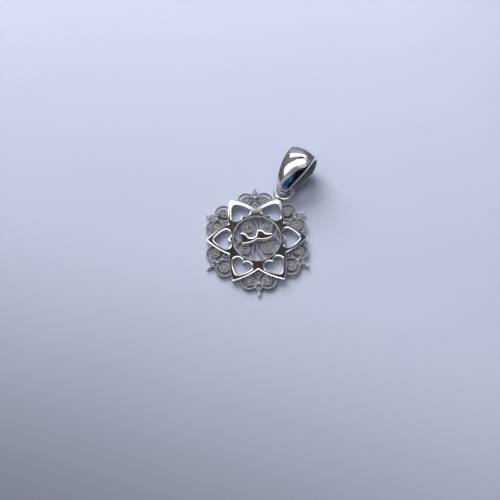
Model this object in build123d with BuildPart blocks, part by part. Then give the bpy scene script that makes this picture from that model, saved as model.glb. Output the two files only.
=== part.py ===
from build123d import *

import os
from math import asin, atan2, cos, degrees, hypot, radians, sin, sqrt

os.makedirs("parts", exist_ok=True)

# Silver pendant lying face up on a flat surface, ring and bail toward +Y. Millimetres, +Z up.
# The origin is on the surface, under the middle of the pendant.

petals = 6
tip_radius = 9.65
valley_radius = 6.2
petal_bulge = 0.28
plate_thickness = 1.35
plate_bevel = 0.13
hub_radius = 4.45

# Metal left round each heart opening: at the petal's tip, along its side, under the cleft, at the hub.
tip_wall = 1.3
side_wall = 0.5
cleft_wall = 1.2
hub_wall = 0.62
hub_rim_width = 0.26
hub_rim_rise = 0.12
shoulder_run = 1.15
lobe_angle = 12.5
heart_bulge = 0.22
heart_apex_fillet = 0.3

wire = 0.24
wire_foot = 0.12
wire_height = 0.68
wire_sink = 0.1
scroll_pitch = 0.42
scroll_eye = 0.18

fan_reach = 10.4
fan_scroll_radius = 0.83
fan_bead_radius = 0.3
valley_bead_radius = 0.2
bead_sink = 0.08
collar_radius = 0.33
finial_radius = 0.36
finial_sink = 0.23

plaque_foot = 0.3
plaque_height = 1.2
plaque_bevel = 0.18

ring_radius = 1.72
ring_wire = 0.76
ring_sink = 0.25
ring_rise = 0.105
solder_radius = 0.5

bail_length = 9.35
bail_half_width = 2.68
bail_wall = 0.4
bail_crown = 0.9
bail_hollow = 0.7
bail_shoulder = 0.49
bail_top_radius = 2.7
bail_bulge = 0.6
bail_turn = -6.35
bail_roll = 4.0
bail_offset = -0.4

# Room between the ring and the bail: inside the bend, beside the neck, over the back strip and
# behind the bend.
bend_play = 0.28
neck_play = 0.94
strip_play = 0.7
bail_gap = 0.45

ring_bore = ring_radius - ring_wire / 2
ring_centre = tip_radius + ring_radius + ring_wire / 2 - ring_sink
ring_height = plate_thickness / 2 + ring_rise
bail_bottom_radius = ring_wire / 2 + bend_play + bail_wall / 2
bail_neck = ring_bore - neck_play


def polar(radius, angle):
    return (radius * cos(radians(angle)), radius * sin(radians(angle)))


def bulged(start, end, bulge):
    """An arc from start to end whose middle stands out by bulge to the right of that direction."""
    chord = Vector(*end) - Vector(*start)
    middle = (Vector(*start) + Vector(*end)) / 2
    middle += Vector(chord.Y, -chord.X).normalized() * bulge
    return ThreePointArc(start, (middle.X, middle.Y), end)


def scroll(centre, outer, start, hand):
    """Half circles that shrink by half a pitch each, from the outer end of a scroll to its eye."""
    toward = Vector(*polar(1, start))
    for k in range(int((outer - scroll_eye) / (scroll_pitch / 2)) + 1):
        eye = Vector(*centre) - toward * (scroll_pitch / 2) * (k % 2)
        CenterArc(eye, outer - k * scroll_pitch / 2, start + 180 * k, 180 * hand)


# One heart opening, its apex outward along +Y.
petal_tip = Vector(0, tip_radius)
valley = Vector(*polar(valley_radius, 90 - 180 / petals))
up_the_side = (petal_tip - valley).normalized()
off_the_side = Vector(up_the_side.Y, -up_the_side.X)
heart_shoulder = valley + up_the_side * shoulder_run - off_the_side * side_wall
heart_apex = tip_radius - tip_wall
heart_cleft = hub_radius + cleft_wall
with BuildSketch() as heart:
    with BuildLine():
        ThreePointArc(
            (0, heart_cleft),
            polar(hub_radius + hub_wall, 90 - lobe_angle),
            (heart_shoulder.X, heart_shoulder.Y),
        )
        bulged((heart_shoulder.X, heart_shoulder.Y), (0, heart_apex), heart_bulge)
        mirror(about=Plane.YZ)
    make_face()
    fillet(heart.vertices().sort_by(Axis.Y)[-1], heart_apex_fillet)

# One fan of wires, pointing along +X from the valley between two petals. Its points are shares:
# of the way from the valley out to the finial's collar, and of the way up the petal's side.
fan_arc = [(0.666, 0.108), (0.556, 0.532), (0.012, 0.677)]
fan_arch = (0.722, 0.124)
fan_scroll_centre = (0.316, 0.336)
fan_fork_end = (0.03, 0.153)
fan_fork = 0.369
fan_bead = 0.619
valley_bead = 0.131


def fan_point(outward, aside=0.0, hand=1):
    side_x, side_y = polar(tip_radius, 180 / petals)
    return (
        valley_radius + outward * (fan_reach - valley_radius) + aside * (side_x - valley_radius),
        aside * side_y * hand,
    )


with BuildSketch() as fan:
    for hand in (1, -1):
        with BuildLine() as fan_wires:
            ThreePointArc(*[fan_point(*share, hand) for share in fan_arc])
            centre = fan_point(*fan_scroll_centre, hand)
            scroll(centre, fan_scroll_radius, 0, hand)
            Line(fan_point(fan_bead), (centre[0] + fan_scroll_radius, centre[1]))
            Line(fan_point(fan_fork), fan_point(*fan_fork_end, hand))
            Line(fan_point(*fan_arc[0], hand), fan_point(*fan_arch, hand))
            Line(fan_point(*fan_arch, hand), (fan_reach, 0))
        trace(fan_wires.line, wire)
    with BuildLine() as fan_stem:
        Line((fan_point(fan_fork)[0] - wire_sink, 0), fan_point(fan_bead))
        Line((valley_radius - wire_sink, 0), fan_point(valley_bead))
    trace(fan_stem.line, wire)

# The wires of the hub: four scrolls and the stems that tie them to the wall and to the plaque.
# Their places and the plaque's outline are shares of the hub's radius.
hub_scrolls = [
    # centre, outer radius, start angle, hand
    ((-0.629, 0.33), 0.261, 150, 1),
    ((0.142, 0.708), 0.225, 60, -1),
    ((0.634, -0.112), 0.301, -20, 1),
    ((-0.209, -0.685), 0.22, -110, -1),
]
hub_stems = [
    # start on the wall, a point on the way, end under the plaque
    ((-0.364, 0.944), (-0.191, 0.742), (-0.067, 0.427)),
    ((-0.629, 0.787), (-0.393, 0.663), (-0.18, 0.382)),
    ((0.382, -0.944), (0.135, -0.629), (0.0, -0.202)),
    ((0.764, -0.663), (0.281, -0.427), (0.056, -0.135)),
    ((0.944, 0.348), (0.742, 0.445), (0.539, 0.427)),
    ((0.483, 0.888), (0.611, 0.652), (0.539, 0.427)),
    ((-0.955, -0.315), (-0.775, -0.387), (-0.562, -0.382)),
    ((-0.618, -0.798), (-0.652, -0.562), (-0.584, -0.36)),
]
with BuildSketch() as hub_filigree:
    for (share_x, share_y), share, start, hand in hub_scrolls:
        with BuildLine() as hub_scroll:
            centre = Vector(share_x, share_y) * hub_radius
            scroll((centre.X, centre.Y), share * hub_radius, start, hand)
            outermost = centre + Vector(*polar(share * hub_radius, start))
            Line(outermost, outermost.normalized() * (hub_radius + wire_sink))
        trace(hub_scroll.line, wire)
    for stem in hub_stems:
        with BuildLine() as hub_stem:
            ThreePointArc(*[Vector(*share) * hub_radius for share in stem])
        trace(hub_stem.line, wire)

# The outline of the plaque, clockwise from its lower left corner.
plaque_outline = [
    (-0.742, -0.213),
    (-0.769, -0.124),
    (-0.697, -0.029),
    (-0.539, -0.009),
    (-0.427, -0.049),
    (-0.337, -0.076),
    (-0.213, -0.027),
    (-0.139, 0.072),
    (-0.162, 0.213),
    (-0.191, 0.337),
    (-0.124, 0.431),
    (0.0, 0.481),
    (0.112, 0.461),
    (0.213, 0.445),
    (0.36, 0.517),
    (0.472, 0.539),
    (0.573, 0.461),
    (0.573, 0.337),
    (0.494, 0.225),
    (0.36, 0.085),
    (0.213, -0.004),
    (0.079, -0.058),
    (0.011, -0.169),
    (-0.135, -0.348),
    (-0.281, -0.476),
    (-0.404, -0.551),
    (-0.517, -0.476),
    (-0.652, -0.326),
]
with BuildPart() as plaque:
    with BuildSketch():
        with BuildLine():
            Spline(*[Vector(*share) * hub_radius for share in plaque_outline], periodic=True)
        make_face()
    extrude(amount=plaque_height)
    chamfer(faces().sort_by(Axis.Z)[-1].edges(), plaque_bevel)

# The raised rim of the hub, from its foot below the plate's bevel.
with BuildPart() as hub_rim:
    with BuildSketch():
        Circle(hub_radius + hub_rim_width)
        Circle(hub_radius, mode=Mode.SUBTRACT)
    extrude(amount=2 * plate_bevel + hub_rim_rise)
    chamfer(faces().sort_by(Axis.Z)[-1].edges(), hub_rim_rise / 2)

# The finial is a collar and a ball turned as one, with its axis along +X.
finial_reach = fan_reach + collar_radius + finial_radius - finial_sink
neck_reach = (
    finial_reach**2 - fan_reach**2 + collar_radius**2 - finial_radius**2
) / (2 * (finial_reach - fan_reach))
neck_radius = sqrt(collar_radius**2 - (neck_reach - fan_reach) ** 2)
with BuildPart() as finial:
    with BuildSketch():
        with BuildLine():
            ThreePointArc(
                (fan_reach - collar_radius, 0),
                (fan_reach, collar_radius),
                (neck_reach, neck_radius),
            )
            ThreePointArc(
                (neck_reach, neck_radius),
                (finial_reach, finial_radius),
                (finial_reach + finial_radius, 0),
            )
            Line((finial_reach + finial_radius, 0), (fan_reach - collar_radius, 0))
        make_face()
    revolve(axis=Axis.X)

# The bail is one band bent into a loop. Its side profile runs along the bail and upward, and the
# band is widest at three quarters of its length and narrow where it passes through the ring.
# It lies on its straight back strip, whose slope is the loop's taper.
top_centre = bail_length - bail_top_radius
taper = asin((bail_top_radius - bail_bottom_radius) / (top_centre - bail_bottom_radius))
across = Vector(1, 0, 0).rotate(Axis.Z, bail_turn)
along = Vector(0, 1, 0).rotate(Axis.Z, bail_turn)
along = along.rotate(Axis((0, 0, 0), across), degrees(taper))
across = across.rotate(Axis((0, 0, 0), along), -bail_roll)
bail_plane = Plane(origin=(0, 0, 0), x_dir=along, z_dir=across)

# Share of the way from the bottom to the top, share of the widening from the neck to the full
# width, share of the full crown in front, the same behind.
band_sections = [
    (0.0, 0.0, 0.18, 0.18),
    (0.06, 0.17, 0.24, 0.16),
    (0.14, 0.4, 0.42, 0.15),
    (0.3, 0.65, 0.67, 0.17),
    (0.46, 0.87, 0.88, 0.2),
    (0.62, 0.985, 1.0, 0.23),
    (0.76, 1.0, 1.0, 0.25),
    (0.88, 0.97, 0.85, 0.36),
    (1.0, 0.95, 0.57, 0.57),
]


with BuildPart() as bail:
    for side in (1, -1):
        bottom_touch = (
            bail_bottom_radius * (1 - sin(taper)),
            bail_bottom_radius * cos(taper) * side,
        )
        bottom_way = (bail_bottom_radius * (1 - cos(0.7)), bail_bottom_radius * sin(0.7) * side)
        top_touch = (top_centre - bail_top_radius * sin(taper), bail_top_radius * cos(taper) * side)
        top_way = (top_centre + bail_top_radius * cos(0.8), bail_top_radius * sin(0.8) * side)
        with BuildLine(bail_plane) as run:
            ThreePointArc((0, 0), bottom_way, bottom_touch)
            if side > 0:
                bulged(top_touch, bottom_touch, bail_bulge)
            else:
                Line(bottom_touch, top_touch)
            ThreePointArc(top_touch, top_way, (bail_length, 0))
        path = run.wire()
        for way, widening, front_crown, back_crown in band_sections:
            half = bail_neck + (bail_half_width - bail_neck) * widening
            share = front_crown if side > 0 else back_crown
            crown = bail_crown * share
            shoulder = crown * bail_shoulder
            arch = ((half - shoulder) ** 2 + crown**2 - shoulder**2) / (2 * (crown - shoulder))
            spread = asin((half - shoulder) / (arch - shoulder))
            turn = (radians(90) - spread) / 2
            edge = bail_wall / 2
            middle = (half - shoulder + shoulder * cos(turn), edge + shoulder * sin(turn))
            touch = (arch * sin(spread), edge + crown - arch + arch * cos(spread))
            with BuildSketch(Plane(origin=path @ way, x_dir=across * -side, z_dir=path % way)):
                with BuildLine():
                    Line((half, -edge), (half, edge))
                    ThreePointArc((half, edge), middle, touch)
                    ThreePointArc(touch, (0, edge + crown), (-touch[0], touch[1]))
                    ThreePointArc((-touch[0], touch[1]), (-middle[0], middle[1]), (-half, edge))
                    Line((-half, edge), (-half, -edge))
                    ThreePointArc((-half, -edge), (0, bail_hollow * share - edge), (half, -edge))
                make_face()
        loft()

# The rosette leans on the petal tip farthest from the ring, because the ring is held up over the
# bail's back strip.
bail_low = -bail.part.bounding_box().min.Z
ring_level = bail_low - bail_bottom_radius + strip_play + ring_wire / 2
ring_reach = tip_radius + ring_centre
lean = asin(ring_level / hypot(ring_reach, ring_height)) - atan2(ring_height, ring_reach)
lie_plane = Plane(
    origin=(0, tip_radius * cos(lean), tip_radius * sin(lean)),
    x_dir=(1, 0, 0),
    z_dir=(0, -sin(lean), cos(lean)),
)

with BuildPart() as rosette:
    with BuildSketch(lie_plane):
        with BuildLine():
            for k in range(petals):
                start = 90 + 360 / petals * k
                tip = polar(tip_radius, start)
                bulged(polar(valley_radius, start - 180 / petals), tip, petal_bulge)
                bulged(tip, polar(valley_radius, start + 180 / petals), petal_bulge)
        make_face()
        Circle(hub_radius, mode=Mode.SUBTRACT)
        with PolarLocations(0, petals):
            add(heart.sketch, mode=Mode.SUBTRACT)
    extrude(amount=plate_thickness)
    chamfer(faces().filter_by(lie_plane).sort_by(Axis.Z)[-1].edges(), plate_bevel)
    with BuildSketch(lie_plane.offset(wire_foot)):
        with PolarLocations(0, petals):
            add(fan.sketch)
        add(hub_filigree.sketch)
    extrude(amount=wire_height)
    with Locations(lie_plane.offset(plaque_foot)):
        add(plaque.part)
    with Locations(lie_plane.offset(plate_thickness - 2 * plate_bevel)):
        add(hub_rim.part)
    with Locations(lie_plane):
        for share, radius in ((valley_bead, valley_bead_radius), (fan_bead, fan_bead_radius)):
            with PolarLocations(fan_point(share)[0], petals):
                with Locations((0, 0, wire_foot + wire_height - bead_sink)):
                    Sphere(radius, rotation=(90, 0, 0))
        with Locations((0, 0, finial_radius)):
            with PolarLocations(0, petals):
                add(finial.part)
        with Locations((0, ring_centre, ring_height)):
            Torus(ring_radius, ring_wire / 2)
        with Locations((0, tip_radius - solder_radius / 2, plate_thickness / 2)):
            Cylinder(solder_radius, plate_thickness - 2 * plate_bevel)

# The bail hooks through the ring, and both are then centred along Y.
bail_outside = bail_wall / 2 + bail_crown * band_sections[0][2]
ring_y = ring_reach * cos(lean) - ring_height * sin(lean)
bail.part.move(Location((bail_offset, ring_y - ring_bore + bail_gap + bail_outside, bail_low)))
middle = (rosette.part.bounding_box().min.Y + bail.part.bounding_box().max.Y) / 2
rosette.part.move(Location((0, -middle, 0)))
bail.part.move(Location((0, -middle, 0)))

rosette.part.label = "rosette"
export_step(rosette.part, "parts/rosette.step")
bail.part.label = "bail"
export_step(bail.part, "parts/bail.step")
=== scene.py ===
import math

import bmesh
import bpy
import numpy as np
from mathutils import Matrix, Vector, geometry


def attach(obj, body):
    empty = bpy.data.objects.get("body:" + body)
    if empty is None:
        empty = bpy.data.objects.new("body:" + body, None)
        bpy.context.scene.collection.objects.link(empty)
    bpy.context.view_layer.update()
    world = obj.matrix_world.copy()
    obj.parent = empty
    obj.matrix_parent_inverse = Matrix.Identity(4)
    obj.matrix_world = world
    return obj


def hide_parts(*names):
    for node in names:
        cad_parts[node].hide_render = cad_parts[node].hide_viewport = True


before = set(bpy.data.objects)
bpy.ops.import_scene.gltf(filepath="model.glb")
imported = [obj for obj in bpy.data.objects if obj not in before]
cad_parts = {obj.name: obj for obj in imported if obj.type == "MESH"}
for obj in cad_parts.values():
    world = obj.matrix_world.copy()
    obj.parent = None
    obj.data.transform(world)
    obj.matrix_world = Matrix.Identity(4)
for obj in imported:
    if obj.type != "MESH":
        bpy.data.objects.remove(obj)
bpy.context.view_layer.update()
mm = 0.001


# The view is from 10 cm above the pendant, a little toward the petal opposite the ring, and the pendant is
# small in the middle of it.
def new_object(name, data):
    made = bpy.data.objects.new(name, data)
    bpy.context.scene.collection.objects.link(made)
    return made


camera = new_object("camera", bpy.data.cameras.new("camera"))
bpy.context.scene.camera = camera
camera.data.lens = 39.02
camera.data.clip_start = 0.002
camera.location = (0.015145, -0.042469, 0.096709)
camera.rotation_euler = [math.radians(angle) for angle in (21.460, -1.563, 27.845)]
bpy.context.scene.view_settings.view_transform = "Standard"


# The floor is a matt white board with a faint tooth, as plain card or laminate has. The pendant lies loose
# on it. Its colour is painted darker toward the near left as painted shade, away from the window, and
# lighter to the right as painted light.
class Net:
    """A value in a node tree. Arithmetic on it adds Math nodes, and node() adds any other node."""

    def __init__(self, tree, socket=None):
        self.tree = tree
        self.socket = socket

    def feed(self, target, value):
        if isinstance(value, Net):
            self.tree.links.new(value.socket, target)
        else:
            target.default_value = value

    def node(self, kind, settings=None, inputs=None, output=0):
        made = self.tree.nodes.new(kind)
        for name, value in (settings or {}).items():
            setattr(made, name, value)
        for name, value in (inputs or {}).items():
            self.feed(made.inputs[name], value)
        return Net(self.tree, made.outputs[output]) if made.outputs else made

    def out(self, name):
        return Net(self.tree, self.socket.node.outputs[name])

    def math(self, operation, *values):
        return self.node("ShaderNodeMath", {"operation": operation}, dict(enumerate(values)))

    def part(self, axis):
        return self.node("ShaderNodeSeparateXYZ", None, {0: self}, axis)

    def dot(self, axis):
        inputs = {0: self, 1: tuple(axis)}
        return self.node("ShaderNodeVectorMath", {"operation": "DOT_PRODUCT"}, inputs).out("Value")

    def scaled(self, factor):
        return self.node("ShaderNodeVectorMath", {"operation": "SCALE"}, {0: self, "Scale": factor})

    def __add__(self, other):
        return self.math("ADD", self, other)

    def __radd__(self, other):
        return self.math("ADD", other, self)

    def __sub__(self, other):
        return self.math("SUBTRACT", self, other)

    def __rsub__(self, other):
        return self.math("SUBTRACT", other, self)

    def __mul__(self, other):
        return self.math("MULTIPLY", self, other)

    def __rmul__(self, other):
        return self.math("MULTIPLY", other, self)

    def __truediv__(self, other):
        return self.math("DIVIDE", self, other)

    def __rtruediv__(self, other):
        return self.math("DIVIDE", other, self)

    def step(self, low, high):
        """0 below low, 1 above high, and smooth between them."""
        return self.node(
            "ShaderNodeMapRange",
            {"interpolation_type": "SMOOTHSTEP"},
            {"Value": self, "From Min": low, "From Max": high},
        )

    def between(self, low, high, soft=2.0):
        """1 from low to high and 0 outside, with edges that are soft on both sides."""
        return self.step(low - soft, low + soft) * (1 - self.step(high - soft, high + soft))

    def mix(self, first, second):
        """The first colour where this value is 0 and the second where it is 1."""
        # A colour mix has its factor at socket 0, its colours at 6 and 7, and its result at output 2.
        return self.node("ShaderNodeMix", {"data_type": "RGBA"}, {0: self, 6: first, 7: second}, 2)

    def noise(self, scale, detail, **more):
        """Noise from 0 to 1 over these coordinates."""
        inputs = {"Vector": self, "Scale": scale, "Detail": detail, **more}
        return self.node("ShaderNodeTexNoise", None, inputs)

    def bump(self, strength, distance, **under):
        """The normal of a surface with this height, over another bump if one is given as Normal."""
        inputs = {"Strength": strength, "Distance": distance, "Height": self, **under}
        return self.node("ShaderNodeBump", None, inputs)


def new_material(name):
    material = bpy.data.materials.new(name)
    material.use_nodes = True
    net = Net(material.node_tree)
    shader = material.node_tree.nodes["Principled BSDF"]
    where = net.node("ShaderNodeTexCoord").out("Object")
    return material, net, shader, where


# Level directions: from the near petal's side to the far one, and to the right across it.
far = Vector((-0.4048, 0.9144, 0))
aside = Vector((0.9144, 0.4048, 0))
floor_half = 0.6
board = bpy.data.meshes.new("floor")
corners = [(x * floor_half, y * floor_half, 0) for x, y in ((-1, -1), (1, -1), (1, 1), (-1, 1))]
board.from_pydata(corners, [], [(0, 1, 2, 3)])
floor = new_object("floor", board)
card, net, shader, where = new_material("matt board")
tooth = where.noise(scale=1400.0, detail=4.0)
cloud = where.noise(scale=25.0, detail=3.0)
across = where.dot(aside)
toward = where.dot(-far) * 0.85 - across * 0.2
# The board's colour is painted lighter to the right as painted light, and darker toward the near left as
# painted shade.
lit_right = 0.95 + across.step(-0.05, 0.05) * 0.11
dim_near = 1 - toward.step(0.0075, 0.075) * 0.72
shade = lit_right * dim_near * (0.97 + tooth * 0.06)
tone = cloud.step(0.3, 0.7).mix((0.66, 0.69, 0.84, 1), (0.68, 0.71, 0.85, 1))
net.feed(shader.inputs["Base Color"], tone.scaled(shade))
net.feed(shader.inputs["Normal"], tooth.bump(strength=0.12, distance=0.00005))
shader.inputs["Roughness"].default_value = 0.7
board.materials.append(card)


# The light is daylight from a wide window beyond the pendant, with grey walls round it and a dark lens before
# it. The polished silver shows this room, so each patch of it has its place in degrees.
world = bpy.data.worlds.new("room")
bpy.context.scene.world = world
world.use_nodes = True
net = Net(world.node_tree)
direction = net.node("ShaderNodeTexCoord").out("Generated")
outward = direction.dot(far)
sideways = direction.dot(aside)
level = net.math("SQRT", outward * outward + sideways * sideways + 1e-6)
tilt = net.math("ARCCOSINE", direction.part(2)) * (180 / math.pi) / level
# Degrees from overhead: away toward the far side and to the right, then two slanting scales made of them.
away = outward * tilt
right = sideways * tilt
slant = away - right * 0.31
corner = away - right * 0.461 + 24.7

upper_pane = away.between(22, 37) * right.between(-37, 19, 3)
window = net.math("MAXIMUM", slant.between(-7, 14) * right.between(-56, 15, 3), upper_pane)
lens = (away - right * 0.25).between(12.5, 23.8, 0.8) * right.between(-10, 10, 1.5)
patches = (
    # The wall over the window, and the dark right side of the room.
    (away.between(33, 66, 12) * right.between(-34, 16, 8), (0.38, 0.39, 0.42, 1)),
    (right.step(16, 36), (0.12, 0.12, 0.13, 1)),
    # Two pale bands along the ceiling's edge, and a pale spot on the near side.
    (corner.between(12, 24, 4), (0.25, 0.28, 0.36, 1)),
    (corner.between(1, 12, 3) * (1 - right.step(-40, -22)), (0.46, 0.48, 0.52, 1)),
    (away.between(-18, -6, 2) * right.between(-6, 19, 3), (0.62, 0.63, 0.68, 1)),
    # The dark near half of the room, with two blue patches in it.
    (1 - corner.step(-3, 2), right.step(-44, -30).mix((0.06, 0.07, 0.10, 1), (0.006, 0.006, 0.008, 1))),
    (corner.between(-26, -3, 5) * right.between(-34, -15, 4), (0.03, 0.08, 0.26, 1)),
    (away.between(-90, -58, 5) * right.between(-62, -32, 6), (0.02, 0.06, 0.18, 1)),
    # The window's panes, the bar between them, and the lens before it.
    (window, (1.9, 1.94, 2.05, 1)),
    (away.between(13.5, 21, 1.2) * right.between(-10, 24, 3), (0.42, 0.43, 0.47, 1)),
    (lens, right.step(1, 6).mix((0.045, 0.036, 0.032, 1), (0.04, 0.05, 0.10, 1))),
)
colour = right.step(-80, -30).mix((0.10, 0.10, 0.11, 1), (0.22, 0.23, 0.25, 1))
for mask, tone in patches:
    colour = mask.mix(colour, tone)
# Behind the floor the room is plain and pale, and it lights matt things less than it shows in the silver.
rays = net.node("ShaderNodeLightPath")
background = world.node_tree.nodes["Background"]
net.feed(background.inputs["Color"], rays.out("Is Camera Ray").mix(colour, (0.42, 0.44, 0.52, 1)))
net.feed(background.inputs["Strength"], 1 - rays.out("Is Diffuse Ray") * 0.4)

light = bpy.data.lights.new("window light", "AREA")
light.shape = "RECTANGLE"
light.size = 0.26
light.size_y = 0.20
light.energy = 1.0
light.color = (0.95, 0.97, 1.0)
lamp = new_object("window light", light)
lamp.location = far * 0.22 - aside * 0.10 + Vector((0, 0, 0.19))
lamp.rotation_euler = lamp.location.to_track_quat("Z", "Y").to_euler()
lamp.visible_camera = False
lamp.visible_glossy = False


# The plate is cast and polished silver, 1.35 mm thick: six pointed petals, each pierced by a heart, round an
# open hub. Its upper edges are rounded by polishing. It lies tilted, because the bail holds up its ring.
# All of the rosette is sized in mm about the hub's axis and over the plate's back, and lay puts it in place.
hub_y = -5.3804
hub_z = 0.2271
lean = 1.3484
lay = Matrix.Translation((0, hub_y * mm, hub_z * mm)) @ Matrix.Rotation(math.radians(lean), 4, "X")
petals = 6
tip_radius = 9.65
valley_radius = 6.2
petal_bulge = 0.28
hub_radius = 4.45
hub_sides = 120
plate_thickness = 1.35
# Metal left round each heart: at the petal's tip, along its side, under the cleft and at the hub.
tip_wall = 1.3
side_wall = 0.5
cleft_wall = 1.2
hub_wall = 0.62
shoulder_run = 1.15
lobe_angle = 12.5
heart_bulge = 0.22
apex_half = 0.14
apex_drop = 0.13
# The border is a shallow slope inside every edge: at most this wide, and this share of the way to the next
# edge. Its rows give the share of its width and the height. At a sharp corner it reaches in by at most its
# width over sharpest.
border_width = 0.19
border_share = 0.3
border = ((0.0, 0.0), (0.0, 1.2), (0.06, 1.28), (0.2, 1.32), (1.0, plate_thickness))
sharpest = 0.45


def polar(radius, angle):
    return Vector((radius * math.cos(math.radians(angle)), radius * math.sin(math.radians(angle))))


def turned(points, angle):
    turn = Matrix.Rotation(math.radians(angle), 2)
    return [turn @ Vector(point) for point in points]


def arc(start, way, end, steps):
    """Points of the circle arc from start through way to end."""
    start, way, end = Vector(start), Vector(way), Vector(end)
    a, b = way - start, end - start
    twice = 2 * (a.x * b.y - a.y * b.x)
    centre = start + Vector(
        ((b.y * a.length_squared - a.y * b.length_squared) / twice,
         (a.x * b.length_squared - b.x * a.length_squared) / twice)
    )
    first = math.atan2(start.y - centre.y, start.x - centre.x)
    swing = (math.atan2(end.y - centre.y, end.x - centre.x) - first) % (2 * math.pi)
    if twice < 0:
        swing -= 2 * math.pi
    radius = (start - centre).length
    angles = [first + swing * k / steps for k in range(steps + 1)]
    return [centre + radius * Vector((math.cos(angle), math.sin(angle))) for angle in angles]


def bulged(start, end, bulge, steps):
    """An arc from start to end whose middle stands out by bulge to the right of that direction."""
    chord = Vector(end) - Vector(start)
    way = (Vector(start) + Vector(end)) / 2 + Vector((chord.y, -chord.x)).normalized() * bulge
    return arc(start, way, end, steps)


def holds(loop, spot):
    """Whether a closed loop of points goes round a spot."""
    crossings = sum(
        (a.y > spot.y) != (b.y > spot.y) and spot.x < (b.x - a.x) * (spot.y - a.y) / (b.y - a.y) + a.x
        for a, b in zip(loop, loop[1:] + loop[:1])
    )
    return crossings % 2 == 1


def filled(loops, loose=()):
    """Triangles between closed loops of points and through loose ones: points, triangles, points' sources."""
    points, edges = [], []
    for loop in loops:
        first = len(points)
        points += loop
        edges += [(first + m, first + (m + 1) % len(loop)) for m in range(len(loop))]
    inside_edges, closeness = 1, 1e-6
    filling = geometry.delaunay_2d_cdt(points + list(loose), edges, [], inside_edges, closeness)
    points, edges, faces, origins = filling[:4]
    return points, faces, origins


def join_rows(work, rows, around):
    """Faces between neighbouring rows of vertices, each a closed loop. Around joins the last to the first."""
    for low, high in zip(rows, rows[1:] + (rows[:1] if around else [])):
        for m in range(len(low)):
            following = (m + 1) % len(low)
            work.faces.new((low[m], low[following], high[following], high[m]))


def mesh_of(work, name):
    mesh = bpy.data.meshes.new(name)
    work.to_mesh(mesh)
    work.free()
    return mesh


def add_piece(name, mesh, node, sharp=60):
    """A finished piece from a mesh in its place: faces turned outward, and edges over the angle kept sharp."""
    work = bmesh.new()
    work.from_mesh(mesh)
    bmesh.ops.remove_doubles(work, verts=work.verts, dist=1e-7)
    bmesh.ops.recalc_face_normals(work, faces=work.faces)
    for face in work.faces:
        face.smooth = True
    work.to_mesh(mesh)
    work.free()
    mesh.set_sharp_from_angle(angle=math.radians(sharp))
    piece = new_object(name, mesh)
    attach(piece, "root")
    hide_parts(node)


def add_to_rosette(name, mesh, sharp=60):
    mesh.transform(lay)
    add_piece(name, mesh, "rosette", sharp)


def silver(name, light, dark, patch, rough, scratch, metallic=1.0):
    """Silver: tarnish in soft patches from light to dark, fine scratches, and a slight polishing wave."""
    material, net, shader, where = new_material(name)
    tarnish = where.noise(patch, detail=5.0, Roughness=0.6)
    stretched = {"Vector": where, "Rotation": (0.2, 0.1, 0.7), "Scale": (400.0, 6000.0, 400.0)}
    hair = net.node("ShaderNodeMapping", None, stretched).noise(scale=1.0, detail=2.0)
    wave = where.noise(scale=350.0, detail=1.0)
    net.feed(shader.inputs["Base Color"], tarnish.step(0.42, 0.72).mix(light, dark))
    roughness = rough + tarnish.step(0.4, 0.8) * 0.08 + hair.step(0.55, 0.8) * scratch
    net.feed(shader.inputs["Roughness"], roughness)
    scratched = hair.bump(scratch, distance=0.000004)
    net.feed(shader.inputs["Normal"], wave.bump(strength=0.1, distance=0.00001, Normal=scratched))
    shader.inputs["Metallic"].default_value = metallic
    return material


outline = []
for k in range(petals):
    tip = polar(tip_radius, 90 + 60 * k)
    outline += bulged(polar(valley_radius, 60 + 60 * k), tip, petal_bulge, steps=24)[:-1]
    outline += bulged(tip, polar(valley_radius, 120 + 60 * k), petal_bulge, steps=24)[:-1]

# One heart: two lobes at the hub, and an apex rounded by the file.
valley = polar(valley_radius, 60)
up_side = (Vector((0, tip_radius)) - valley).normalized()
shoulder = valley + up_side * shoulder_run - Vector((up_side.y, -up_side.x)) * side_wall
apex = Vector((0, tip_radius - tip_wall))
lobe_way = polar(hub_radius + hub_wall, 90 - lobe_angle)
lobe = arc((0, hub_radius + cleft_wall), lobe_way, shoulder, steps=26)
side = bulged(shoulder, apex, heart_bulge, steps=20)
half = lobe[:-1] + [point for point in side if point.x > apex_half]
tip_round = arc(half[-1], apex - Vector((0, apex_drop)), (-half[-1].x, half[-1].y), steps=6)[1:-1]
heart = half + tip_round + [Vector((-point.x, point.y)) for point in reversed(half[1:])]

# The outline runs anticlockwise and the openings clockwise, so each loop has the metal on its left.
loops = [outline, [polar(hub_radius, -360 / hub_sides * k) for k in range(hub_sides)]]
loops += [turned(heart, 60 * k) for k in range(petals)]
for points in loops[1:]:
    if sum(a.cross(b) for a, b in zip(points, points[1:] + points[:1])) > 0:
        points.reverse()
widths, inward = [], []
for n, points in enumerate(loops):
    others = [point for m, other in enumerate(loops) if m != n for point in other]
    nearest = [min((point - other).length for other in others) for point in points]
    widths.append([min(border_width, border_share * distance) for distance in nearest])
    steps = []
    for before, point, after in zip(points[-1:] + points[:-1], points, points[1:] + points[:1]):
        first, second = (point - before).normalized(), (after - point).normalized()
        normal = Vector((-first.y - second.y, first.x + second.x)).normalized()
        steps.append(normal / max(sharpest, normal.dot(Vector((-first.y, first.x)))))
    inward.append(steps)


def inset(n, share):
    return [point + step * width * share for point, step, width in zip(loops[n], inward[n], widths[n])]


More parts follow.
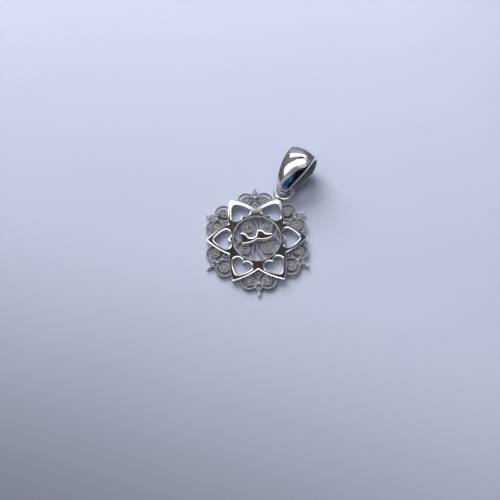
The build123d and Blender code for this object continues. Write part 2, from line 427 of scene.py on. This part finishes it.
work = bmesh.new()
for share, height in (border[0], border[-1]):
    bounds = [inset(n, share) for n in range(len(loops))]
    spots, faces, origins = filled(bounds)
    verts = [work.verts.new((spot.x * mm, spot.y * mm, height * mm)) for spot in spots]
    for face in faces:
        middle = sum((spots[n] for n in face), Vector((0, 0))) / len(face)
        if holds(bounds[0], middle) and not any(holds(bound, middle) for bound in bounds[1:]):
            work.faces.new([verts[n] for n in face])
for n in range(len(loops)):
    rows = [
        [work.verts.new((point.x * mm, point.y * mm, height * mm)) for point in inset(n, share)]
        for share, height in border
    ]
    join_rows(work, rows, around=False)
bmesh.ops.remove_doubles(work, verts=work.verts, dist=2e-6)
mesh = mesh_of(work, "plate")
add_to_rosette("petal_plate", mesh, sharp=40)
up = lay.to_3x3() @ Vector((0, 0, 1))
for face in mesh.polygons:
    if abs(face.normal.dot(up)) > 0.999:
        face.use_smooth = False
plate_material = silver(
    "polished plate", (0.94, 0.94, 0.94, 1), (0.80, 0.79, 0.79, 1), patch=300.0, rough=0.03, scratch=0.03
)
mesh.materials.append(plate_material)


# The filigree is drawn silver wire: flat ribbons on edge with two twisted strands soldered along their tops.
# It fills the six fans between the petals and the hub, and is dark with oxide and painted shade down in its
# gaps.
wire_foot = 0.12
wire_top = 0.80
strand = 0.105
line_height = wire_top - 2 * strand
wire_sizes = {
    "Step": 0.05 * mm,
    "Strand": strand * mm,
    "Pitch": 0.7 * mm,
    "Ribbon Width": 0.24 * mm,
    "Ribbon Height": (wire_top - wire_foot - 3 * strand) * mm,
}
wire_material, net, shader, where = new_material("filigree wire")
# The wire's colour paints light and shade: white with less metal on the strands' outer crests as a painted
# highlight, and near black on the ribbons and in the pinch between strands as oxide and painted shade.
crest = net.node("ShaderNodeAttribute", {"attribute_name": "crest"}).out("Fac")
soot = where.noise(scale=1500.0, detail=3.0)
painted_glint_and_oxide = (crest * (0.7 + soot * 0.6)).step(0.36, 0.84)
net.feed(shader.inputs["Base Color"], painted_glint_and_oxide.mix((0.04, 0.04, 0.05, 1), (0.98, 0.98, 0.98, 1)))
net.feed(shader.inputs["Metallic"], 1 - painted_glint_and_oxide * 0.5)
net.feed(shader.inputs["Roughness"], 0.4 - crest * 0.1 + soot * 0.1)


def new_tree(name, kind, inputs):
    """A geometry tree with named inputs of one kind, its net, and the node that gives its inputs."""
    tree = bpy.data.node_groups.new(name, "GeometryNodeTree")
    for in_out in ("INPUT", "OUTPUT"):
        tree.interface.new_socket("Geometry", in_out=in_out, socket_type="NodeSocketGeometry")
    for label in inputs:
        tree.interface.new_socket(label, in_out="INPUT", socket_type=kind)
    net = Net(tree)
    return tree, net, net.node("NodeGroupInput")


def end_tree(net, made, material):
    made = net.node("GeometryNodeRealizeInstances", None, {"Geometry": made})
    made = net.node("GeometryNodeSetMaterial", None, {"Geometry": made, "Material": material})
    net.node("NodeGroupOutput", None, {0: made})


def grown(data, tree, values):
    """The plain mesh that a tree makes of a curve or of points, with its inputs set to the values."""
    source = new_object("source", data)
    modifier = source.modifiers.new("growth", "NODES")
    modifier.node_group = tree
    for item in tree.interface.items_tree:
        if item.in_out == "INPUT" and item.name in values:
            modifier[item.identifier] = values[item.name]
    mesh = bpy.data.meshes.new_from_object(source.evaluated_get(bpy.context.evaluated_depsgraph_get()))
    bpy.data.objects.remove(source)
    return mesh


wire_tree, net, given = new_tree("filigree wire", "NodeSocketFloat", wire_sizes)
line = net.node(
    "GeometryNodeResampleCurve",
    {"mode": "LENGTH"},
    {"Curve": given.out("Geometry"), "Length": given.out("Step")},
)
turns = net.node("GeometryNodeSplineParameter").out("Length") / given.out("Pitch")
twisted = net.node("GeometryNodeSetCurveTilt", None, {"Curve": line, "Tilt": turns * (2 * math.pi)})
# A circle pinched in the middle is the section of the strand pair, and crest is 1 at its two outer ends.
circle = net.node("GeometryNodeCurvePrimitiveCircle", None, {"Resolution": 10, "Radius": 1.0}).out("Curve")
place = net.node("GeometryNodeInputPosition")
spread = net.math("ABSOLUTE", place.part(0))
pair = net.node(
    "GeometryNodeStoreNamedAttribute",
    {"data_type": "FLOAT", "domain": "POINT"},
    {"Geometry": circle, "Name": "crest", "Value": spread},
)
pinched = place.scaled((0.75 + spread * 1.25) * given.out("Strand"))
pair = net.node("GeometryNodeSetPosition", None, {"Geometry": pair, "Position": pinched})
strands = net.node(
    "GeometryNodeCurveToMesh", None, {"Curve": twisted, "Profile Curve": pair, "Fill Caps": True}
)
flat = net.node(
    "GeometryNodeCurvePrimitiveQuadrilateral",
    None,
    {"Width": given.out("Ribbon Width"), "Height": given.out("Ribbon Height")},
)
ribbon = net.node("GeometryNodeCurveToMesh", None, {"Curve": line, "Profile Curve": flat, "Fill Caps": True})
drop = (given.out("Ribbon Height") + given.out("Strand")) * -0.5
lowered = net.node("ShaderNodeCombineXYZ", None, {"Z": drop})
ribbon = net.node("GeometryNodeSetPosition", None, {"Geometry": ribbon, "Offset": lowered})
both = net.node("GeometryNodeJoinGeometry", None, {0: ribbon})
net.feed(both.socket.node.inputs[0], strands)
end_tree(net, both, wire_material)


def new_curve(name):
    curve = bpy.data.curves.new(name, "CURVE")
    curve.dimensions = "3D"
    return curve


def add_line(curve, points):
    spline = curve.splines.new("POLY")
    spline.points.add(len(points) - 1)
    for point, spot in zip(spline.points, points):
        point.co = (spot[0] * mm, spot[1] * mm, line_height * mm, 1)


half_pitch = 0.21
scroll_eye = 0.18
scroll_steps = 18


def scroll(centre, outer, start, hand):
    """Half circles that shrink by half a pitch each, from the outer end of a scroll to its eye."""
    points = []
    radius, k = outer, 0
    while radius >= scroll_eye:
        eye = Vector(centre) - polar(half_pitch, start) * (k % 2)
        for n in range(scroll_steps):
            points.append(eye + polar(radius, start + 180 * k + hand * 180 * n / scroll_steps))
        radius, k = radius - half_pitch, k + 1
    return points


# Places in a fan are shares: of the way out from the valley to the finial's collar, and up the petal's side.
fan_reach = 10.4
fan_arc = ((0.666, 0.108), (0.545, 0.52), (0.012, 0.677))
fan_arch = (0.722, 0.124)
fan_scroll_centre = (0.316, 0.336)
fan_scroll_radius = 0.83
fan_fork = 0.369
fan_fork_end = (0.03, 0.153)
fan_stem_foot = 0.345
fan_bead = 0.619
valley_bead = 0.131
wire_sink = 0.1
side_x, side_y = polar(tip_radius, 30)


def fan_point(outward, up_side=0.0, hand=1):
    """A point of the fan along +X. Hand is 1 for its left half and -1 for its right one."""
    x = valley_radius + outward * (fan_reach - valley_radius) + up_side * (side_x - valley_radius)
    return Vector((x, up_side * side_y * hand))


fans = new_curve("fans")
for k in range(petals):
    lines = []
    for hand in (1, -1):
        start, way, end = [fan_point(*share, hand) for share in fan_arc]
        centre = fan_point(*fan_scroll_centre, hand)
        lines += [
            arc(start, way, end, steps=40),
            [fan_point(fan_bead)] + scroll(centre, fan_scroll_radius, 0, hand),
            [fan_point(fan_fork), fan_point(*fan_fork_end, hand)],
            [start, fan_point(*fan_arch, hand), Vector((fan_reach, 0))],
        ]
    lines.append([fan_point(fan_stem_foot), fan_point(fan_bead)])
    lines.append([Vector((valley_radius - wire_sink, 0)), fan_point(valley_bead)])
    for points in lines:
        add_line(fans, turned(points, 60 * k))
add_to_rosette("fan_filigree", grown(fans, wire_tree, wire_sizes), sharp=50)

# Places in the hub are shares of its radius.
hub_scrolls = (
    # centre, outer radius, start angle, hand
    ((-0.629, 0.33), 0.261, 150, 1),
    ((0.142, 0.708), 0.225, 60, -1),
    ((0.634, -0.112), 0.301, -20, 1),
    ((-0.209, -0.685), 0.22, -110, -1),
)
hub_stems = (
    # start on the wall, a point on the way, end under the plaque
    ((-0.364, 0.944), (-0.191, 0.742), (-0.067, 0.427)),
    ((-0.629, 0.787), (-0.393, 0.663), (-0.18, 0.382)),
    ((0.382, -0.944), (0.135, -0.629), (0.0, -0.202)),
    ((0.764, -0.663), (0.281, -0.427), (0.056, -0.135)),
    ((0.944, 0.348), (0.742, 0.445), (0.539, 0.427)),
    ((0.483, 0.888), (0.611, 0.652), (0.539, 0.427)),
    ((-0.955, -0.315), (-0.775, -0.387), (-0.562, -0.382)),
    ((-0.618, -0.798), (-0.652, -0.562), (-0.584, -0.36)),
)
wall_sink = 0.05
hub = new_curve("hub")
for centre, outer, start, hand in hub_scrolls:
    points = scroll(Vector(centre) * hub_radius, outer * hub_radius, start, hand)
    add_line(hub, [points[0].normalized() * (hub_radius + wall_sink)] + points)
for stem in hub_stems:
    add_line(hub, arc(*[Vector(share) * hub_radius for share in stem], steps=24))
add_to_rosette("hub_filigree", grown(hub, wire_tree, wire_sizes), sharp=50)


# The granules are small silver balls melted onto the wire: on the stem of each fan, at each scroll's eye and
# where each arc ends. Their surface is bright and a little frosted.
finial_bead = 0.84
spots = []
for k in range(petals):
    # place, radius, height of the middle
    beads = [
        (fan_point(valley_bead), 0.2, 0.72),
        (fan_point(fan_bead), 0.33, 0.72),
        (fan_point(finial_bead), 0.25, 0.68),
    ]
    for hand in (1, -1):
        beads.append((fan_point(*fan_scroll_centre, hand), 0.17, 0.72))
        beads.append((fan_point(*fan_arc[0], hand), 0.16, 0.74))
    spots += [(turned([spot], 60 * k)[0], radius, rise) for spot, radius, rise in beads]
spots += [(Vector(centre) * hub_radius, 0.19, 0.7) for centre, outer, start, hand in hub_scrolls]
granules = bpy.data.meshes.new("granules")
granules.from_pydata([(spot.x * mm, spot.y * mm, rise * mm) for spot, radius, rise in spots], [], [])
sizes = granules.attributes.new("size", "FLOAT", "POINT")
sizes.data.foreach_set("value", [radius * mm for spot, radius, rise in spots])

bright = ((0.98, 0.98, 0.98, 1), (0.90, 0.90, 0.91, 1))
granule_material = silver("bright granules", *bright, patch=900.0, rough=0.3, scratch=0.05, metallic=0.75)
granule_sides = {"Sides": 16, "Rings": 10}
granule_tree, net, given = new_tree("granulation", "NodeSocketInt", granule_sides)
ball = net.node(
    "GeometryNodeMeshUVSphere",
    None,
    {"Segments": given.out("Sides"), "Rings": given.out("Rings"), "Radius": 1.0},
)
size = net.node("GeometryNodeInputNamedAttribute", {"data_type": "FLOAT"}, {"Name": "size"})
balls = net.node(
    "GeometryNodeInstanceOnPoints", None, {"Points": given.out("Geometry"), "Instance": ball, "Scale": size}
)
end_tree(net, balls, granule_material)
add_to_rosette("granules", grown(granules, granule_tree, granule_sides))


# Each finial is a collar and a ball of the same bright silver, melted together on the outer end of a fan.
collar_radius = 0.33
ball_radius = 0.36
ball_reach = 10.86
neck_reach = 10.61


def bead_profile(reach, radius, first, count):
    """Points (reach, radius) over a round bead on the X axis, from the first angle in equal steps."""
    angles = [first + 0.2 * n for n in range(count)]
    return [(reach - radius * math.cos(angle), radius * math.sin(angle)) for angle in angles]


def lathe(profile, sides):
    """Vertices and faces of a profile of (reach, radius) points turned about the X axis, in mm."""
    directions = [(math.cos(2 * math.pi * n / sides), math.sin(2 * math.pi * n / sides)) for n in range(sides)]
    verts = [Vector((reach, radius * y, radius * z)) for reach, radius in profile for y, z in directions]
    verts += [Vector((profile[0][0], 0, 0)), Vector((profile[-1][0], 0, 0))]
    last = (len(profile) - 1) * sides
    faces = []
    for n in range(sides):
        following = (n + 1) % sides
        for row in range(0, last, sides):
            faces.append((row + n, row + following, row + sides + following, row + sides + n))
        faces.append((n, len(verts) - 2, following))
        faces.append((last + following, len(verts) - 1, last + n))
    return verts, faces


collar = [point for point in bead_profile(fan_reach, collar_radius, 0.15, 12) if point[0] < neck_reach]
ball = [point for point in bead_profile(ball_reach, ball_radius, 0.9, 11) if point[0] > neck_reach]
verts, faces = lathe(collar + ball, sides=18)
finial_verts, finial_faces = [], []
for k in range(petals):
    spin = Matrix.Rotation(math.radians(60 * k), 4, "Z") @ Matrix.Translation((0, 0, ball_radius))
    finial_faces += [tuple(len(finial_verts) + n for n in face) for face in faces]
    finial_verts += [(spin @ vert) * mm for vert in verts]
finials = bpy.data.meshes.new("finials")
finials.from_pydata(finial_verts, [], finial_faces)
finials.materials.append(granule_material)
add_to_rosette("finials", finials)


# The hub's rim is a round silver wire soldered along the edge of the opening. It stands a little higher than
# the plate, and its lower part is sunk in it.
rim_foot = 1.09
rim_rise = 0.38
rim_middle = 4.58
rim_half = 0.13


def turned_about(centre, profile, sides, name):
    """The mesh of a closed profile of (height, reach) points turned about an upright axis, in mm."""
    work = bmesh.new()
    rows = []
    for height, reach in profile:
        ways = [centre + polar(reach, 360 / sides * n) for n in range(sides)]
        rows.append([work.verts.new((way.x * mm, way.y * mm, height * mm)) for way in ways])
    join_rows(work, rows, around=True)
    return mesh_of(work, name)


angles = [math.pi / 12 * n for n in range(-2, 7)]
outer = [(rim_foot + rim_rise * math.sin(angle), rim_middle + rim_half * math.cos(angle)) for angle in angles]
inner = [(height, 2 * rim_middle - reach) for height, reach in outer[-2::-1]]
mesh = turned_about(Vector((0, 0)), outer + inner, hub_sides, "hub_rim")
mesh.materials.append(silver("hub rim wire", *bright, patch=500.0, rough=0.28, scratch=0.05))
add_to_rosette("hub_rim", mesh)


# The plaque is a thin pillow of polished silver, its outline like an island. It is soldered over the hub's
# wires, and its lower part reaches down between them.
plaque_foot = 0.3
plaque_edge = 1.2
pillow_run = 0.3
pillow_rise = 0.27
crown_rise = 0.045
plaque_shares = (
    (-0.742, -0.213), (-0.769, -0.124), (-0.697, -0.029), (-0.539, -0.009), (-0.427, -0.049), (-0.337, -0.076),
    (-0.213, -0.027), (-0.139, 0.072), (-0.162, 0.213), (-0.191, 0.337), (-0.124, 0.431), (0.0, 0.481),
    (0.112, 0.461), (0.213, 0.445), (0.36, 0.517), (0.472, 0.539), (0.573, 0.461), (0.573, 0.337),
    (0.494, 0.225), (0.36, 0.085), (0.213, -0.004), (0.079, -0.058), (0.011, -0.169), (-0.135, -0.348),
    (-0.281, -0.476), (-0.404, -0.551), (-0.517, -0.476), (-0.652, -0.326),
)


def smooth_line(points, steps=5):
    """A closed line that runs through the points and bends smoothly."""
    ends = points[-1:] + points + points[:2]
    line = []
    for a, b, c, d in zip(ends, ends[1:], ends[2:], ends[3:]):
        for t in [n / steps for n in range(steps)]:
            square = (2 * a - 5 * b + 4 * c - d) * t * t
            line.append(0.5 * (2 * b + (c - a) * t + square + (3 * b - a - 3 * c + d) * t ** 3))
    return line


plaque_rim = smooth_line([Vector(share) * hub_radius for share in plaque_shares])


def depth_in(point):
    """How far a point lies inside the plaque's rim, in mm, or below 0 outside."""
    distances = []
    for a, b in zip(plaque_rim, plaque_rim[1:] + plaque_rim[:1]):
        foot, share = geometry.intersect_point_line(point, a, b)
        distances.append((point - (foot.to_2d() if 0 <= share <= 1 else a)).length)
    return min(distances) if holds(plaque_rim, point) else -min(distances)


def pillow(depth):
    """Height of the plaque's face over its edge: a rounded shoulder, then a low crown, in mm."""
    shoulder = math.sqrt(max(0.0, 1 - (1 - min(depth / pillow_run, 1)) ** 2))
    return plaque_edge + pillow_rise * shoulder + crown_rise * (1 - math.exp(-depth / pillow_run))


# The face is filled through a grid of points in staggered rows, less those that lie too near the rim.
spacing = 0.1
row_spacing = 0.87 * spacing
grid = [
    Vector(((i + 0.5 * (j % 2)) * spacing, j * row_spacing)) for i in range(-36, 28) for j in range(-30, 30)
]
inner = [(point, depth) for point, depth in zip(grid, map(depth_in, grid)) if depth > spacing / 2]
depths = [0.0] * len(plaque_rim) + [depth for point, depth in inner]
points, faces, origins = filled([plaque_rim], [point for point, depth in inner])
work = bmesh.new()
verts = []
for point, sources in zip(points, origins):
    height = pillow(depths[sources[0]] if sources else 0.0)
    verts.append(work.verts.new(Vector((point.x, point.y, height)) * mm))
for face in faces:
    work.faces.new([verts[n] for n in face])
edge_loop = [edge for edge in work.edges if edge.is_boundary]
for element in bmesh.ops.extrude_edge_only(work, edges=edge_loop)["geom"]:
    if isinstance(element, bmesh.types.BMVert):
        element.co.z = plaque_foot * mm
bmesh.ops.edgeloop_fill(work, edges=[edge for edge in work.edges if edge.is_boundary])
mesh = mesh_of(work, "plaque")
plaque_material = silver(
    "polished plaque", (0.92, 0.92, 0.93, 1), (0.75, 0.74, 0.75, 1), patch=400.0, rough=0.03, scratch=0.03
)
mesh.materials.append(plaque_material)
add_to_rosette("island_plaque", mesh, sharp=50)


# The ring is round silver wire, closed and soldered flat onto the tip of the petal next to the bail. It is
# polished, with fine scratches where the bail rubs on it.
ring_radius = 1.72
wire_radius = 0.38
ring_height = 0.78
ring_sink = 0.25
ring_centre = Vector((0, tip_radius + ring_radius + wire_radius - ring_sink))
angles = [math.pi / 12 * m for m in range(24)]
section = [(ring_height + wire_radius * math.sin(a), ring_radius + wire_radius * math.cos(a)) for a in angles]
mesh = turned_about(ring_centre, section, 96, "ring")
ring_material = silver(
    "ring wire", (0.92, 0.92, 0.92, 1), (0.72, 0.71, 0.72, 1), patch=500.0, rough=0.07, scratch=0.12
)
mesh.materials.append(ring_material)
add_to_rosette("ring", mesh)


# The solder is a lump of hard silver solder, its colour painted dark as a painted reflection. It runs up from
# the petal's tip round the foot of the ring.
solder_half = Vector((0.66, 0.6, 0.72))
solder_centre = Vector((0, tip_radius - 0.32, 0.7))
work = bmesh.new()
bmesh.ops.create_uvsphere(work, u_segments=28, v_segments=18, radius=1.0)
for vert in work.verts:
    vert.co = (vert.co * solder_half + solder_centre) * mm
mesh = mesh_of(work, "solder")
dark_reflection_solder = silver(
    "solder", (0.26, 0.26, 0.28, 1), (0.09, 0.09, 0.10, 1), patch=900.0, rough=0.2, scratch=0.1
)
mesh.materials.append(dark_reflection_solder)
add_to_rosette("ring_solder", mesh)


# The bail is one silver band bent into a tapered loop, domed and mirror polished outside, hollow and brushed
# inside, with its colour painted dark grey there as shade. It hangs through the ring by its narrow bend and
# lies on its back strip.
bail_length = 9.35
top_radius = 2.7
bend_radius = 0.86
bow = 0.6
wall = 0.4
rim_round = 0.1
full_half = 2.68
neck_half = 0.4
crown = 0.9
hollow = 0.7
roundness = 0.49
bail_turn = -6.35
bail_roll = -4
foot = Vector((-0.4, 5.5701, 1.0686))
taper = math.asin((top_radius - bend_radius) / (bail_length - top_radius - bend_radius))
across = Matrix.Rotation(math.radians(bail_turn), 3, "Z") @ Vector((1, 0, 0))
along = Matrix.Rotation(math.radians(bail_turn), 3, "Z") @ Vector((0, 1, 0))
along = Matrix.Rotation(taper, 3, across) @ along
across = Matrix.Rotation(math.radians(bail_roll), 3, along) @ across
upward = across.cross(along)
# Share of the way from the bend to the top, then shares of the full width, of the front and of the back crown.
shares = (
    (0.0, 0.0, 0.18, 0.18), (0.06, 0.17, 0.24, 0.16), (0.14, 0.4, 0.42, 0.15), (0.3, 0.65, 0.67, 0.17),
    (0.46, 0.87, 0.88, 0.2), (0.62, 0.985, 0.975, 0.23), (0.76, 1.0, 0.975, 0.24), (0.88, 0.97, 0.84, 0.325),
    (1.0, 0.95, 0.437, 0.437),
)
profile_steps = 480
skin_step = 0.14


def side_profile(side):
    """Points of one half of the loop's side profile, evenly spaced from the bend to the top.

    Side is 1 for the front half, which bows out, and -1 for the straight back half. Both bends are arcs through
    a point on the way, at 0.7 and 0.8 radians."""
    bottom = Vector((bend_radius * (1 - math.sin(taper)), bend_radius * math.cos(taper) * side))
    middle = bail_length - top_radius
    top = Vector((middle - top_radius * math.sin(taper), top_radius * math.cos(taper) * side))
    bend_way = (bend_radius * (1 - math.cos(0.7)), bend_radius * math.sin(0.7) * side)
    top_way = (middle + top_radius * math.cos(0.8), top_radius * math.sin(0.8) * side)
    line = arc((0, 0), bend_way, bottom, 60)[:-1]
    if side > 0:
        line += list(reversed(bulged(top, bottom, bow, 200)))[:-1]
    else:
        line += [bottom.lerp(top, n / 200) for n in range(200)]
    line += arc(top, top_way, (bail_length, 0), 120)
    line = np.array([tuple(point) for point in line])
    lengths = np.concatenate([[0.0], np.cumsum(np.linalg.norm(np.diff(line, axis=0), axis=1))])
    want = np.linspace(0, lengths[-1], profile_steps + 1)
    return np.stack([np.interp(want, lengths, line[:, axis]) for axis in (0, 1)], axis=1)


def band_section(half, share):
    """One section of the band as (across, out, inside) points: hollow, rounded rims, shoulders and crown."""
    rise = crown * share
    round_radius = rise * roundness
    arch = ((half - round_radius) ** 2 + rise ** 2 - round_radius ** 2) / (2 * (rise - round_radius))
    spread = math.asin((half - round_radius) / (arch - round_radius))
    inner = half - rim_round
    points = []
    for w in [inner * (1 - m / 7) for m in range(15)]:
        points.append((w, -wall / 2 + hollow * share * (1 - (w / half) ** 2), 1.0))
    rim = [
        (inner + rim_round * math.sin(a), -wall / 2 + rim_round - rim_round * math.cos(a), 0.5)
        for a in (0.4, 0.8, 1.2, 1.57)
    ]
    rim.append((half, wall / 2 - rim_round, 0.0))
    outer = [
        (half - round_radius + round_radius * math.cos(a), wall / 2 + round_radius * math.sin(a), 0.0)
        for a in [(math.pi / 2 - spread) * m / 7 for m in range(8)]
    ]
    outer += [
        (arch * math.sin(a), wall / 2 + rise - arch + arch * math.cos(a), 0.0)
        for a in [spread * (1 - m / 10) for m in range(1, 11)]
    ]
    points += [(-w, out, inside) for w, out, inside in rim + outer]
    return points + outer[-2::-1] + rim[::-1]


def closed_spline_bends(gaps, shape):
    """Second derivatives, at its stations, of the closed cubic spline through each column of the shape."""
    count = len(gaps)
    system = np.zeros((count, count))
    for n in range(count):
        system[n, n - 1] += gaps[n - 1]
        system[n, n] += 2 * (gaps[n - 1] + gaps[n])
        system[n, (n + 1) % count] += gaps[n]
    slope = (np.roll(shape, -1, axis=0) - shape) / gaps[:, None, None]
    change = 6 * (slope - np.roll(slope, 1, axis=0))
    return np.linalg.solve(system, change.reshape(count, -1)).reshape(shape.shape)


# The sections stand on both halves of the profile, and a closed spline through them gives the band's skin.
stations, shape = [], []
for side in (1, -1):
    profile = side_profile(side)
    for way, widening, front_share, back_share in shares if side > 0 else shares[-2:0:-1]:
        k = round(way * profile_steps)
        tangent = Vector(profile[min(k + 1, profile_steps)] - profile[max(k - 1, 0)]).normalized()
        if way in (0.0, 1.0):
            tangent = Vector((0, side if way == 0 else -side))
        outward = Vector((-tangent.y, tangent.x)) * side
        share = front_share if side > 0 else back_share
        section = band_section(neck_half + (full_half - neck_half) * widening, share)
        x, y = profile[k]
        stations.append((x, y))
        shape.append([(x + outward.x * out, y + outward.y * out, w) for w, out, inside in section])
stations, shape = np.array(stations), np.array(shape)
gaps = np.linalg.norm(np.roll(stations, -1, axis=0) - stations, axis=1)
bends = closed_spline_bends(gaps, shape)
skin = []
for n, gap in enumerate(gaps):
    m = (n + 1) % len(gaps)
    for t in np.arange(0, 1, 1 / math.ceil(gap / skin_step)):
        u = 1 - t
        bend = ((u ** 3 - u) * bends[n] + (t ** 3 - t) * bends[m]) * gap * gap / 6
        skin.append(u * shape[n] + t * shape[m] + bend)
inside_of = [inside for w, out, inside in band_section(full_half, 1.0)]
work = bmesh.new()
inside_layer = work.verts.layers.float.new("inside")
rows = []
for row in skin:
    row_verts = []
    for (x, y, w), inside in zip(row, inside_of):
        vert = work.verts.new((foot + along * x + upward * y + across * w) * mm)
        vert[inside_layer] = inside
        row_verts.append(vert)
    rows.append(row_verts)
join_rows(work, rows, around=True)
mesh = mesh_of(work, "bail")

bail_material = silver(
    "polished bail", (0.92, 0.92, 0.93, 1), (0.78, 0.78, 0.79, 1), patch=250.0, rough=0.06, scratch=0.05
)
net = Net(bail_material.node_tree)
shader = bail_material.node_tree.nodes["Principled BSDF"]
# Inside the band its colour is painted dark grey as the shade in its hollow; the brushing is its roughness.
inside = net.node("ShaderNodeAttribute", {"attribute_name": "inside"}).out("Fac").step(0.45, 0.8)
brushed = net.node("ShaderNodeTexCoord").out("Object").noise(scale=2500.0, detail=3.0)
painted_shade_grey = brushed.step(0.3, 0.7).mix((0.36, 0.36, 0.37, 1), (0.50, 0.50, 0.51, 1))
polished, rough = [
    Net(net.tree, shader.inputs[name].links[0].from_socket) for name in ("Base Color", "Roughness")
]
net.feed(shader.inputs["Base Color"], inside.mix(polished, painted_shade_grey))
net.feed(shader.inputs["Roughness"], rough + inside * (0.35 + brushed * 0.2))
mesh.materials.append(bail_material)
add_piece("bail_band", mesh, "bail")
